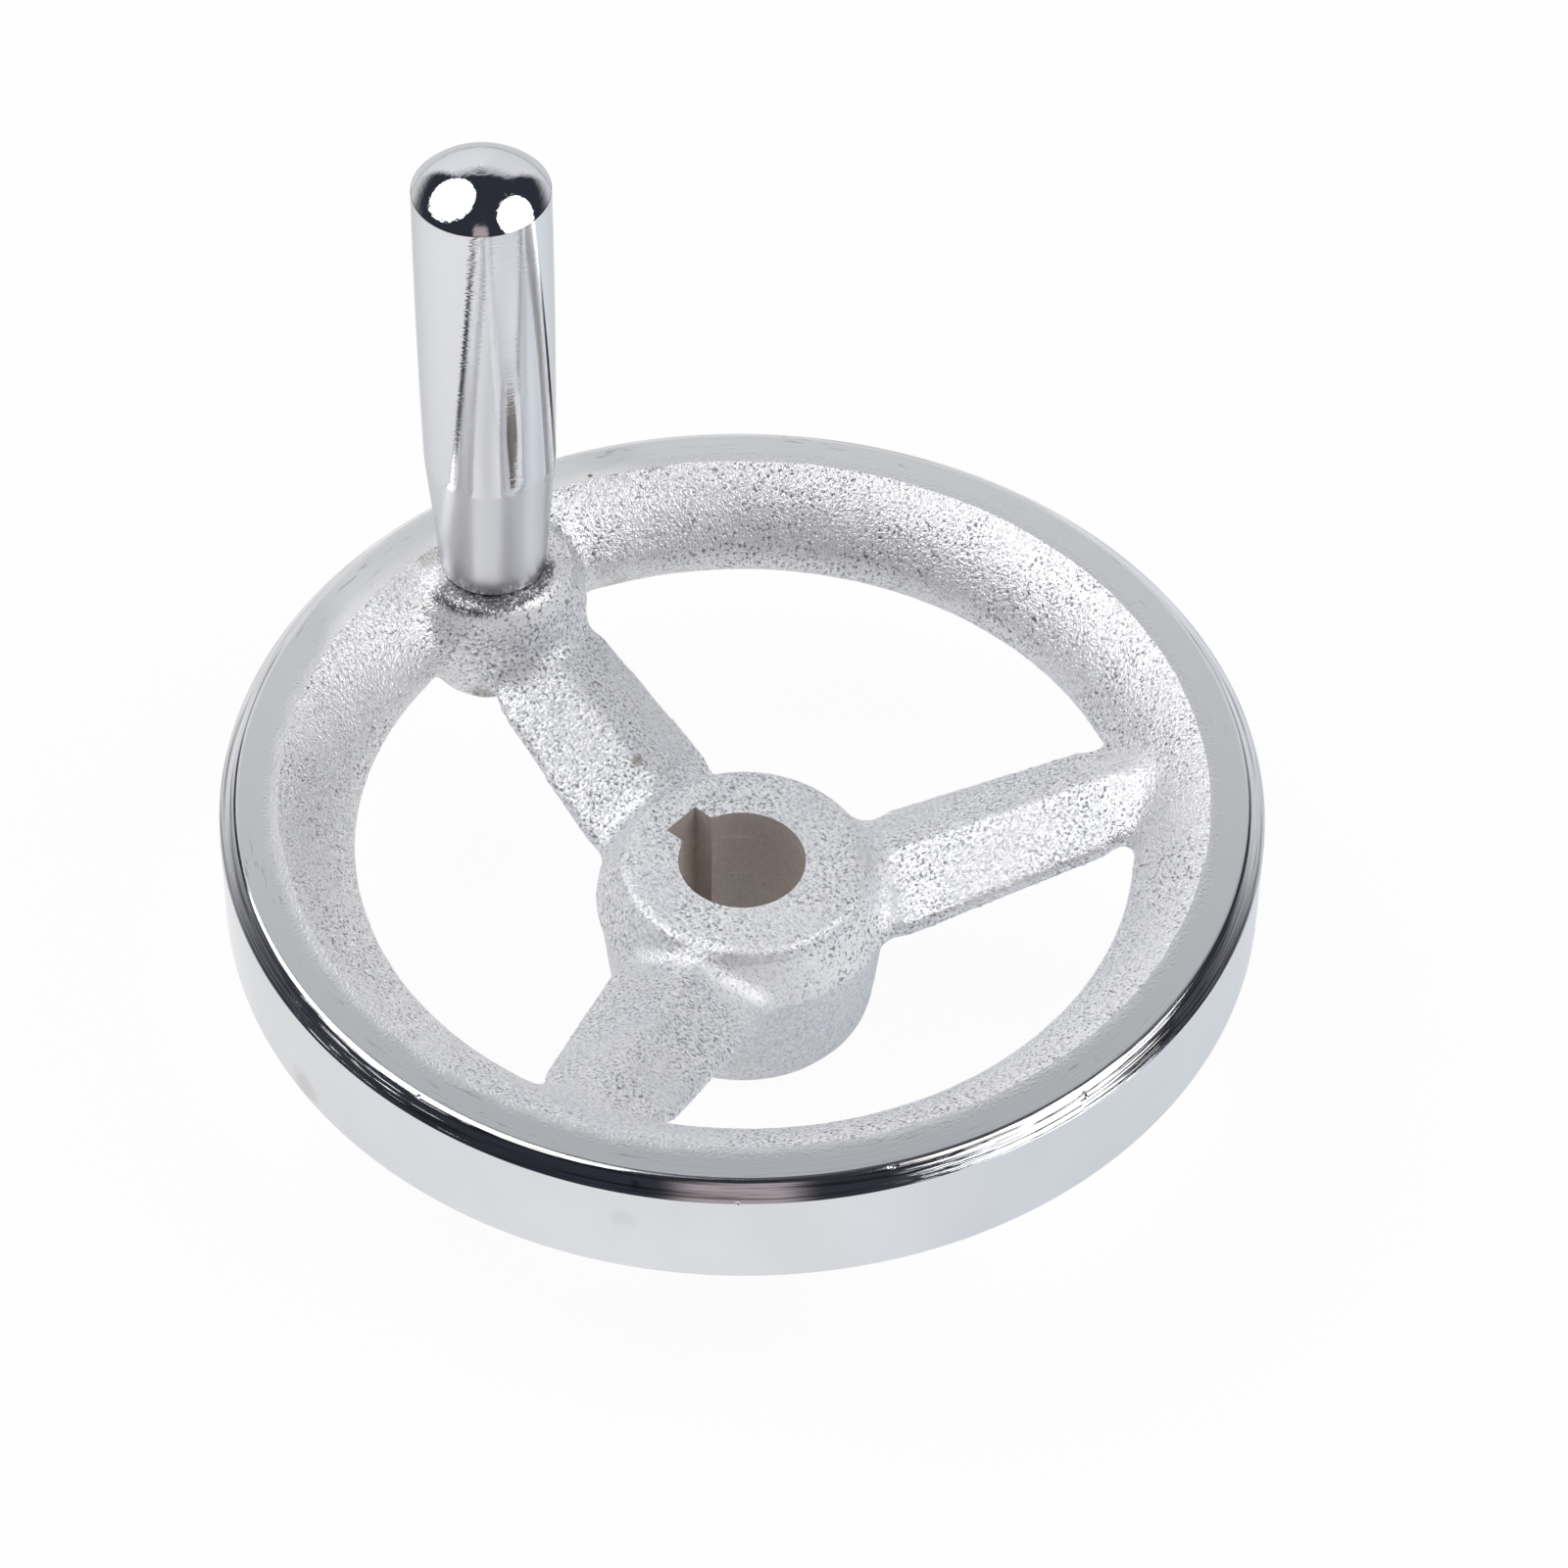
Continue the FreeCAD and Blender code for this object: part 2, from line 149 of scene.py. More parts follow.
# Colours of the finishes
WHITE = (1, 1, 1, 1)
STAIN_BROWN = (0.23, 0.17, 0.12, 1)
CAST_COOL = (0.74, 0.75, 0.78, 1)
CAST_PALE = (0.79, 0.79, 0.81, 1)
CAST_POCK = (0.15, 0.15, 0.17, 1)
# Painted shade on the ring round the grip's foot
SEAT_PAINTED_SHADE = (0.13, 0.13, 0.14, 1)
TURNED_COOL = (0.75, 0.76, 0.78, 1)
TURNED_PALE = (0.80, 0.81, 0.83, 1)
EDGE_STREAK = (0.34, 0.32, 0.31, 1)
LAND_SATIN = (0.77, 0.78, 0.775, 1)
LAND_SCRATCH = (0.42, 0.39, 0.37, 1)
LIP_PALE = (0.84, 0.84, 0.85, 1)
BORE_DARK = (0.50, 0.45, 0.42, 1)
BORE_PALE = (0.76, 0.70, 0.66, 1)
BORE_RING = (0.88, 0.84, 0.80, 1)
GRIP_COOL = (0.78, 0.79, 0.81, 1)
GRIP_PALE = (0.82, 0.82, 0.84, 1)
GRIP_GRAZING = (0.74, 0.75, 0.76, 1)
BRIM_BROWN = (0.42, 0.34, 0.28, 1)

# Colours of the studio
FLOOR_PALE = (0.9, 0.9, 0.9, 1)
FLOOR_COOL = (0.88, 0.93, 1, 1)
FLOOR_DARK = (0.1, 0.1, 0.1, 1)
BACKDROP_LOW = (0.88, 0.88, 0.90, 1)
BACKDROP_HIGH = (0.50, 0.52, 0.56, 1)
BACKDROP_SHADE = (0.45, 0.45, 0.46, 1)
WALL_NEAR = (0.36, 0.36, 0.38, 1)
WALL_FAR = (0.72, 0.73, 0.75, 1)
CEILING_DARK = (0.03, 0.034, 0.045, 1)
BEFORE_WARM = (0.46, 0.39, 0.41, 1)


# Meshes

def make_piece(name, bm):
    """An object at the origin from a bmesh."""
    mesh = bpy.data.meshes.new(name)
    bm.to_mesh(mesh)
    bm.free()
    piece = bpy.data.objects.new(name, mesh)
    bpy.context.scene.collection.objects.link(piece)
    return piece


def turn_outline(outline, centre_x=0.0, steps=TURNING_STEPS, closed=False):
    """A bmesh turned from points (radius, height) about an upright axis at centre_x."""
    bm = bmesh.new()
    points = [bm.verts.new((centre_x + radius, 0, height)) for radius, height in outline]
    for first, second in zip(points, points[1:]):
        bm.edges.new((first, second))
    if closed:
        bm.edges.new((points[-1], points[0]))
    bmesh.ops.spin(bm, geom=bm.verts[:] + bm.edges[:], cent=(centre_x, 0, 0), axis=(0, 0, 1),
                   angle=math.tau, steps=steps, use_merge=True)
    bmesh.ops.remove_doubles(bm, verts=bm.verts[:], dist=MERGE)
    bmesh.ops.recalc_face_normals(bm, faces=bm.faces[:])
    return bm


def arc(centre, radius, start, end, steps):
    """Points (radius, height) along an arc, with its angles in degrees."""
    angles = [math.radians(start + (end - start) * step / steps) for step in range(steps + 1)]
    return [(centre[0] + radius * math.cos(angle), centre[1] + radius * math.sin(angle))
            for angle in angles]


def settle(piece):
    """Make the piece's modifiers part of its mesh."""
    bpy.context.view_layer.update()
    seen = piece.evaluated_get(bpy.context.evaluated_depsgraph_get())
    shaped = bpy.data.meshes.new_from_object(seen)
    piece.modifiers.clear()
    piece.data = shaped


def cut(piece, tool, operation="DIFFERENCE"):
    """Cut the piece with a tool, or keep what is in both, and delete the tool."""
    step = piece.modifiers.new("cut", "BOOLEAN")
    step.operation = operation
    step.solver = "MANIFOLD"
    step.object = tool
    settle(piece)
    bpy.data.objects.remove(tool)


def shade(piece, crease):
    """Smooth shading, with the edges between finishes or over the crease angle kept crisp."""
    flat_from = 0.99999
    bm = bmesh.new()
    bm.from_mesh(piece.data)
    for face in bm.faces:
        face.smooth = abs(face.normal.z) < flat_from
    for edge in bm.edges:
        finishes = {face.material_index for face in edge.link_faces}
        edge.smooth = len(finishes) == 1 and edge.calc_face_angle(0) < crease
    bm.to_mesh(piece.data)
    bm.free()


def ramp(value, low, high):
    """A smooth step from 0 at low to 1 at high."""
    share = min(max((value - low) / (high - low), 0.0), 1.0)
    return share * share * (3 - 2 * share)


# The wheel

def rough_casting():
    """The casting before it is machined: bore and holes filled, and metal left on the rim."""
    bm = bmesh.new()
    bm.from_mesh(frame["nodes"]["wheel"].data)
    bmesh.ops.remove_doubles(bm, verts=bm.verts[:], dist=MERGE)
    bore_plug = 8.2 * MM
    spindle_plug = 3.4 * MM
    plugs = [
        (0, bore_plug, WHEEL_LOW.z, HUB_TOP),
        (HANDLE_X, spindle_plug, RIM_FOOT + 0.2 * MM, BOSS_TOP),
    ]
    for x, radius, low, high in plugs:
        bmesh.ops.create_cone(bm, cap_ends=True, segments=64, radius1=radius, radius2=radius,
                              depth=high - low, matrix=Matrix.Translation((x, 0, (low + high) / 2)))
    casting = make_piece("wheel_casting", bm)
    slope = math.tan(math.radians(19))
    spare = 1.5 * MM
    reach = RIM_RADIUS + 1.0 * MM
    outline = [(LAND_INNER - 1.5 * MM, RIM_TOP - 2.0 * MM),
               (LAND_INNER, RIM_TOP),
               (LAND_INNER + spare, RIM_TOP + spare * slope),
               (reach, RIM_TOP + spare)]
    outline += [(radius, 2 * RIM_MIDDLE - height) for radius, height in reversed(outline)]
    allowance = turn_outline(outline, steps=256, closed=True)
    extra = bpy.data.meshes.new("allowance")
    allowance.to_mesh(extra)
    allowance.free()
    bm = bmesh.new()
    bm.from_mesh(casting.data)
    bm.from_mesh(extra)
    bmesh.ops.translate(bm, vec=MOULD_SHIFT, verts=bm.verts[:])
    bm.to_mesh(casting.data)
    bm.free()
    return casting


def on_parting(place, radius):
    """Whether a place is on the hub's parting step where it stayed crisp, between two spokes."""
    turn = math.atan2(place.y, place.x) % math.tau
    beside = abs(place.z - PARTING_LEVEL) < 1.2 * MM and abs(radius - PARTING_RADIUS) < 1.5 * MM
    return beside and PARTING_SHOWS[0] < turn < PARTING_SHOWS[1]


def mark_roots(casting):
    """Weigh the casting's points near its inside corners, where the pattern had fillets."""
    least_hollow = 0.07 * SKIN_VOXEL
    rings = 8
    group = casting.vertex_groups.new(name="roots")
    bm = bmesh.new()
    bm.from_mesh(casting.data)
    layer = bm.verts.layers.deform.verify()
    bm.normal_update()
    near = {}
    for vert in bm.verts:
        mean = sum((edge.other_vert(vert).co for edge in vert.link_edges), Vector())
        mean /= len(vert.link_edges)
        hollow = (mean - vert.co).dot(vert.normal)
        radius = math.hypot(vert.co.x, vert.co.y)
        in_wheel = ROOTS_FROM < radius < ROOTS_TO
        if in_wheel and hollow > least_hollow and not on_parting(vert.co, radius):
            near[vert] = 1.0
    fringe = set(near)
    for ring in range(rings):
        weight = 1.0 - ring / rings
        fringe = {edge.other_vert(vert) for vert in fringe for edge in vert.link_edges} - set(near)
        for vert in fringe:
            near[vert] = weight
    for vert, weight in near.items():
        vert[layer][group.index] = weight
    bm.to_mesh(casting.data)
    bm.free()


def slope_boss(casting):
    """Let the boss's top fall away round the grip's foot, on the side that faces the hub."""
    bm = bmesh.new()
    bm.from_mesh(casting.data)
    for vert in bm.verts:
        away = math.hypot(vert.co.x - HANDLE_X, vert.co.y)
        if SHOULDER_START < away < SHOULDER_END and vert.co.z > BOSS_TOP - 3 * MM:
            inward = ramp((HANDLE_X - vert.co.x) / away, -0.35, 0.35)
            near_top = ramp(vert.co.z, BOSS_TOP - 2.5 * MM, BOSS_TOP - 0.3 * MM)
            vert.co.z -= SHOULDER_SLOPE * (away - SHOULDER_START) * inward * near_top
    bm.to_mesh(casting.data)
    bm.free()


def cast_skin(casting):
    """Give the casting its one closed skin, its fillets and the soft lumps that sand leaves."""
    remesh = casting.modifiers.new("skin", "REMESH")
    remesh.mode = "VOXEL"
    remesh.voxel_size = SKIN_VOXEL
    settle(casting)
    slope_boss(casting)
    mark_roots(casting)
    fillet = casting.modifiers.new("fillets", "SMOOTH")
    fillet.factor = 0.8
    fillet.iterations = 80
    fillet.vertex_group = "roots"
    ease = casting.modifiers.new("ease", "SMOOTH")
    ease.factor = 0.5
    ease.iterations = 3
    growth = casting.modifiers.new("growth", "DISPLACE")
    growth.mid_level = 0
    growth.strength = 0.14 * MM
    texture = bpy.data.textures.new("lumps", "CLOUDS")
    texture.noise_scale = 3.2 * MM
    texture.noise_depth = 1
    lumps = casting.modifiers.new("lumps", "DISPLACE")
    lumps.texture = texture
    lumps.texture_coords = "LOCAL"
    lumps.strength = 0.07 * MM
    settle(casting)
    casting.vertex_groups.clear()


def rim_envelope():
    """All that the lathe leaves of the rim: land, rounded edge, outside and foot edge."""
    corner = RIM_RADIUS - EDGE_WIDTH
    lean = math.degrees(math.atan2(EDGE_WIDTH, EDGE_HEIGHT))
    tangent = EDGE_ROUND * math.tan(math.radians((90 - lean) / 2))
    rounding = arc((corner - tangent, RIM_TOP - EDGE_ROUND), EDGE_ROUND, 90, lean, 6)
    start = Vector(rounding[-1])
    end = Vector((RIM_RADIUS, RIM_TOP - EDGE_HEIGHT))
    inward = Vector((end.y - start.y, start.x - end.x)).normalized()
    # Each pass of the turning tool left the edge's slope a little hollow or a little full
    passes = 5
    dip = 0.006 * MM
    facets = []
    for tool_pass in range(1, passes):
        sunk = dip if tool_pass % 2 else -dip
        facets.append(tuple(start.lerp(end, tool_pass / passes) + inward * sunk))
    inside = LAND_INNER - 7 * MM
    outline = [(0, RIM_TOP)] + rounding + facets + [
        tuple(end),
        (RIM_RADIUS, RIM_FOOT + FOOT_EDGE_HEIGHT),
        (RIM_RADIUS - FOOT_EDGE_WIDTH, RIM_FOOT),
        (inside, RIM_FOOT),
        (inside, WHEEL_LOW.z),
        (0, WHEEL_LOW.z),
    ]
    return make_piece("rim_envelope", turn_outline(outline))


def bore_tool():
    """The bore with its keyway, as one cutting tool."""
    bm = bmesh.new()
    spare = 2 * MM
    low = WHEEL_LOW.z - spare
    high = HUB_TOP + spare
    steps = 192
    half_key = math.asin(KEY_WIDTH / 2 / BORE_RADIUS)
    floor = BORE_RADIUS + KEY_DEPTH
    turns = [half_key + (math.tau - 2 * half_key) * step / steps for step in range(steps + 1)]
    outline = [(BORE_RADIUS * math.cos(turn), BORE_RADIUS * math.sin(turn)) for turn in turns]
    outline += [(floor, -KEY_WIDTH / 2), (floor, KEY_WIDTH / 2)]
    face = bm.faces.new([bm.verts.new((x, y, low)) for x, y in outline])
    grown = bmesh.ops.extrude_face_region(bm, geom=[face])
    top = [item for item in grown["geom"] if isinstance(item, bmesh.types.BMVert)]
    bmesh.ops.translate(bm, vec=(0, 0, high - low), verts=top)
    bmesh.ops.rotate(bm, verts=bm.verts[:], cent=(0, 0, 0), matrix=Matrix.Rotation(KEY_ANGLE, 3, "Z"))
    bmesh.ops.recalc_face_normals(bm, faces=bm.faces[:])
    return make_piece("bore_tool", bm)


def seat_tool():
    """The drill for the spindle's hole, with the cutter that clears the rim's flank for the grip."""
    low = RIM_FOOT - 2 * MM
    seat = BOSS_TOP + 0.08 * MM
    high = RIM_TOP + 2 * MM
    outline = [(0, low), (THREAD_RADIUS, low), (THREAD_RADIUS, seat), (SEAT_RADIUS, seat),
               (SEAT_RADIUS, high), (0, high)]
    return make_piece("seat_tool", turn_outline(outline, centre_x=HANDLE_X, steps=96))


def nick_tool():
    """Small knocks in the rim's edge."""
    edge = RIM_RADIUS - EDGE_WIDTH
    # Azimuth in degrees, distance from the bore's axis, height, and size along and across the edge in mm
    knocks = [
        (103.8, edge + 0.35 * MM, RIM_TOP + 0.10 * MM, 0.35, 0.45),
        (157.4, edge + 0.30 * MM, RIM_TOP + 0.12 * MM, 0.55, 0.42),
        (180.9, edge + 0.80 * MM, RIM_TOP - 0.25 * MM, 0.30, 0.55),
        (198.0, edge + 0.30 * MM, RIM_TOP + 0.10 * MM, 0.28, 0.28),
        (191.7, edge + 0.40 * MM, RIM_TOP + 0.06 * MM, 0.60, 0.25),
        (140.7, RIM_RADIUS + 0.10 * MM, RIM_TOP - EDGE_HEIGHT + 0.08 * MM, 0.28, 0.28),
        (124.9, edge + 0.30 * MM, RIM_TOP + 0.08 * MM, 0.24, 0.24),
    ]
    bm = bmesh.new()
    for azimuth, radius, height, along, across in knocks:
        turn = Matrix.Rotation(math.radians(azimuth), 4, "Z")
        size = Matrix.Diagonal((across * MM, along * MM, across * MM, 1))
        bmesh.ops.create_icosphere(bm, subdivisions=2, radius=1,
                                   matrix=turn @ Matrix.Translation((radius, 0, height)) @ size)
    return make_piece("nick_tool", bm)


def finish_wheel(casting, cast, turned, bored):
    """Give each face of the wheel the finish of the tool that made it."""
    for finish in (cast, turned, bored):
        casting.data.materials.append(finish)
    near = 0.004 * MM
    edge_start = RIM_RADIUS - EDGE_WIDTH - 1 * MM
    foot_start = LAND_INNER - 3 * MM
    for face in casting.data.polygons:
        centre = face.center
        radius = math.hypot(centre.x, centre.y)
        on_land = abs(centre.z - RIM_TOP) < near
        on_edge = radius > edge_start and centre.z > RIM_FOOT - near
        on_foot = abs(centre.z - RIM_FOOT) < near and radius > foot_start
        on_hub_foot = centre.z < WHEEL_LOW.z + near
        upright = abs(face.normal.z) < 0.02
        in_bore = radius < BORE_RADIUS + KEY_DEPTH + near and upright
        in_thread = math.hypot(centre.x - HANDLE_X, centre.y) < THREAD_RADIUS + near
        if on_land or on_edge or on_foot or on_hub_foot:
            face.material_index = TURNED
        elif in_bore or in_thread:
            face.material_index = BORED
        else:
            face.material_index = CAST


def make_wheel(cast, turned, bored):
    """The chromed wheel, cast, turned, bored and keyed."""
    casting = rough_casting()
    cast_skin(casting)
    cut(casting, rim_envelope(), "INTERSECT")
    cut(casting, bore_tool())
    cut(casting, seat_tool())
    cut(casting, nick_tool())
    casting.data.materials.clear()
    finish_wheel(casting, cast, turned, bored)
    shade(casting, math.radians(32))
    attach(casting, "wheel_body")
    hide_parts("wheel")


# The grip

def grip_outline():
    """Points (radius, height) of the grip, from its dome round to the end of its bore."""
    base_radius = 5.05 * MM
    base_edge = 0.2 * MM
    knee_radius = 6.25 * MM
    knee_blend = 0.9 * MM
    top_radius = 6.4 * MM
    dome_radius = (top_radius ** 2 + DOME_HEIGHT ** 2) / (2 * DOME_HEIGHT)
    dome_centre = GRIP_HIGH.z - dome_radius
    # The faint ring and the centre's mark that the lathe left on the dome
    ring_radius = 1.1 * MM
    ring_width = 0.07 * MM
    ring_depth = 0.006 * MM
    pip_radius = 0.13 * MM
    pip_depth = 0.02 * MM
    # The hollow for the spindle's collar, and the bore with the drill's point at its end
    collar_radius = 4.0 * MM
    collar_end = GRIP_LOW.z + 1.55 * MM
    bore_radius = 3.05 * MM
    bore_end = GRIP_LOW.z + 38.85 * MM
    drill_point = GRIP_LOW.z + 40.65 * MM

    def on_dome(radius, sunk=0.0):
        return radius, dome_centre + math.sqrt(dome_radius ** 2 - radius ** 2) - sunk

    outline = [on_dome(0, pip_depth), on_dome(pip_radius * 0.6, pip_depth), on_dome(pip_radius)]
    outline += [on_dome(ring_radius - ring_width), on_dome(ring_radius, ring_depth),
                on_dome(ring_radius + ring_width)]
    dome_steps = 28
    start = ring_radius + ring_width
    outline += [on_dome(start + (top_radius - start) * step / dome_steps)
                for step in range(1, dome_steps + 1)]
    barrel_steps = 12
    barrel_bulge = 0.11 * MM
    for step in range(1, barrel_steps + 1):
        share = step / barrel_steps
        level = DOME_LEVEL + (KNEE_LEVEL + knee_blend - DOME_LEVEL) * share
        bulge = barrel_bulge * 4 * share * (1 - share)
        outline.append((top_radius + (knee_radius - top_radius) * share + bulge, level))
    taper = (knee_radius - base_radius) / (KNEE_LEVEL - GRIP_LOW.z - base_edge)
    outline += [
        (knee_radius + 0.01 * MM, KNEE_LEVEL + knee_blend / 2),
        (knee_radius - 0.02 * MM, KNEE_LEVEL),
        (knee_radius - taper * knee_blend, KNEE_LEVEL - knee_blend),
        (base_radius, GRIP_LOW.z + base_edge),
        (base_radius - base_edge, GRIP_LOW.z),
        (collar_radius, GRIP_LOW.z),
        (collar_radius, collar_end),
        (bore_radius, collar_end),
        (bore_radius, bore_end),
        (0, drill_point),
    ]
    return outline


def make_grip(polished):
    """The polished grip with its domed end and blind bore."""
    grip = make_piece("grip", turn_outline(grip_outline(), centre_x=HANDLE_X, steps=192))
    grip.data.materials.append(polished)
    shade(grip, math.radians(20))
    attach(grip, "grip_body")
    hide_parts("handle_grip")


# Nodes

def add(tree, kind, inputs=None, **settings):
    """Add a node with its settings, and link or set its inputs."""
    node = tree.nodes.new(kind)
    for name, value in settings.items():
        setattr(node, name, value)
    for key, value in (inputs or {}).items():
        if isinstance(value, bpy.types.NodeSocket):
            tree.links.new(value, node.inputs[key])
        else:
            node.inputs[key].default_value = value
    return node


def calc(tree, operation, first, second=0.0, third=0.0, clamp=False):
    """The result of a math node."""
    node = add(tree, "ShaderNodeMath", {0: first, 1: second, 2: third},
               operation=operation, use_clamp=clamp)
    return node.outputs[0]


def product(tree, first, *others):
    """The values multiplied together."""
    for other in others:
        first = calc(tree, "MULTIPLY", first, other)
    return first


def outside(tree, share):
    """1 where the share is 0, and 0 where it is 1."""
    return calc(tree, "SUBTRACT", 1.0, share)


def raised(tree, base, share, amount):
    """The base, with this amount more where the share is 1."""
    return calc(tree, "MULTIPLY_ADD", share, amount, base)


def between(tree, value, low, high):
    """A smooth step from 0 at low to 1 at high."""
    node = add(tree, "ShaderNodeMapRange", {"Value": value, "From Min": low, "From Max": high},
               interpolation_type="SMOOTHSTEP")
    return node.outputs["Result"]


def band(tree, value, low, high, soft):
    """1 where a value lies from low to high, with soft ends."""
    return calc(tree, "SUBTRACT", between(tree, value, low - soft, low),
                between(tree, value, high, high + soft))


def blend_colours(tree, share, first, second):
    """A colour that goes from the first to the second with the share."""
    node = add(tree, "ShaderNodeMix", {0: share, 6: first, 7: second}, data_type="RGBA")
    return node.outputs[2]


def noise(tree, where, scale, detail=2.0, roughness=0.5):
    """Soft noise from 0 to 1 at this many waves a metre."""
    node = add(tree, "ShaderNodeTexNoise", {"Vector": where, "Scale": scale, "Detail": detail,
                                            "Roughness": roughness})
    return node.outputs["Fac"]


def bump(tree, height, distance, strength=1.0, under=None):
    """A bump from a height of 0 to 1 over this distance."""
    inputs = {"Height": height, "Distance": distance, "Strength": strength}
    if under is not None:
        inputs["Normal"] = under
    return add(tree, "ShaderNodeBump", inputs).outputs["Normal"]


def split(tree, where):
    """The three coordinates of a place or a direction."""
    return add(tree, "ShaderNodeSeparateXYZ", {0: where}).outputs


def level_way(tree, where, x, y):
    """The level way to a place from an upright axis."""
    return add(tree, "ShaderNodeMapping", {"Vector": where, "Location": (-x, -y, 0),
                                           "Scale": (1, 1, 0)}).outputs[0]


def from_axis(tree, where, x=0.0, y=0.0):
    """How far a place lies from an upright axis."""
    node = add(tree, "ShaderNodeVectorMath", {0: level_way(tree, where, x, y)}, operation="LENGTH")
    return node.outputs["Value"]


def facing(tree, where, azimuth, x=0.0, y=0.0):
    """1 on the side of an upright axis that this azimuth points to, and -1 on the far side."""
    way = add(tree, "ShaderNodeVectorMath", {0: level_way(tree, where, x, y)}, operation="NORMALIZE")
    aim = (math.cos(azimuth), math.sin(azimuth), 0)
    node = add(tree, "ShaderNodeVectorMath", {0: way.outputs["Vector"], 1: aim},
               operation="DOT_PRODUCT")
    return node.outputs["Value"]


def around(tree, where, radial, along):
    """Coordinates that follow the lathe: radius and height at one scale, and the turn at another."""
    x, y, z = split(tree, where)
    radius = calc(tree, "SQRT", calc(tree, "ADD", product(tree, x, x), product(tree, y, y)))
    turn = calc(tree, "ARCTAN2", y, x)
    node = add(tree, "ShaderNodeCombineXYZ", {0: product(tree, radius, radial),
                                              1: product(tree, turn, along),
                                              2: product(tree, z, radial)})
    return node.outputs[0]


def about_handle(tree, where):
    """The object's coordinates, with the handle's axis in their middle."""
    return add(tree, "ShaderNodeMapping", {"Vector": where, "Location": (-HANDLE_X, 0, 0)}).outputs[0]


def stain(tree, where, surface, marks):
    """The surface's colour with brown marks, each ragged at its edge."""
    ragged = noise(tree, where, 1100)
    for (x, y, z), reach, strength in marks:
        place = Vector((x, y, z)) * MM
        reach *= MM
        away = add(tree, "ShaderNodeVectorMath", {0: where, 1: place}, operation="DISTANCE")
        away = raised(tree, away.outputs["Value"], ragged, reach)
        inside = outside(tree, between(tree, away, reach * 0.8, reach * 1.6))
        surface = blend_colours(tree, product(tree, inside, strength), surface, STAIN_BROWN)
    return surface


# Finishes

def new_finish(name, metallic=1.0):
    """A material with its shader, and the object's own coordinates."""
    material = bpy.data.materials.new(name)
    material.use_nodes = True
    tree = material.node_tree
    shader = tree.nodes["Principled BSDF"]
    shader.inputs["Metallic"].default_value = metallic
    where = add(tree, "ShaderNodeTexCoord").outputs["Object"]
    return material, tree, shader, where


def link(tree, output, shader, name):
    """Link a node's output to one of the shader's inputs."""
    tree.links.new(output, shader.inputs[name])


def painted_seat_shade(tree, where, height, from_grip):
    """Painted shade: a dark ring round the grip's foot, on the side towards the hub."""
    ring = outside(tree, between(tree, from_grip, 7.0 * MM, 7.5 * MM))
    on_top = between(tree, height, BOSS_TOP - 1.2 * MM, BOSS_TOP - 0.8 * MM)
    inward = facing(tree, where, math.radians(156), HANDLE_X)
    return product(tree, ring, on_top, between(tree, inward, 0.10, 0.45))


def painted_shoulder_highlight(tree, height, from_grip, from_bore):
    """A painted highlight on the crown of the boss, just outside the seat."""
    crown = band(tree, from_grip, 7.6 * MM, 8.7 * MM, 0.4 * MM)
    on_top = between(tree, height, BOSS_TOP - 2.4 * MM, BOSS_TOP - 1.6 * MM)
    inward = outside(tree, between(tree, from_bore, HANDLE_X, HANDLE_X + 3 * MM))
    return product(tree, crown, on_top, inward)


def painted_cone_highlight(tree, where, height, from_bore):
    """A painted highlight on the hub's upper cone, on the side away from the handle, over the crisp
    parting step.
    """
    upper = band(tree, height, PARTING_LEVEL, HUB_TOP - 1.2 * MM, 0.3 * MM)
    on_hub = outside(tree, between(tree, from_bore, 14.3 * MM, 16 * MM))
    outward = facing(tree, where, math.radians(175))
    return product(tree, upper, on_hub, between(tree, outward, 0.60, 0.90))


def painted_flank_sheen(tree, where, from_bore):
    """The rim's inner flank, where a sheen is painted, apart from the duller stretch at the photograph's
    front.
    """
    on_rim = between(tree, from_bore, 32.5 * MM, 34 * MM)
    front = facing(tree, where, math.radians(141))
    return product(tree, on_rim, outside(tree, between(tree, front, 0.60, 0.94)))


def smooth_hub(tree, height, from_bore):
    """The hub under its parting step, where the sand left fewer pocks."""
    on_hub = outside(tree, between(tree, from_bore, 14.6 * MM, 15.6 * MM))
    lower = outside(tree, between(tree, height, PARTING_LEVEL - 1 * MM, PARTING_LEVEL))
    return product(tree, on_hub, lower)


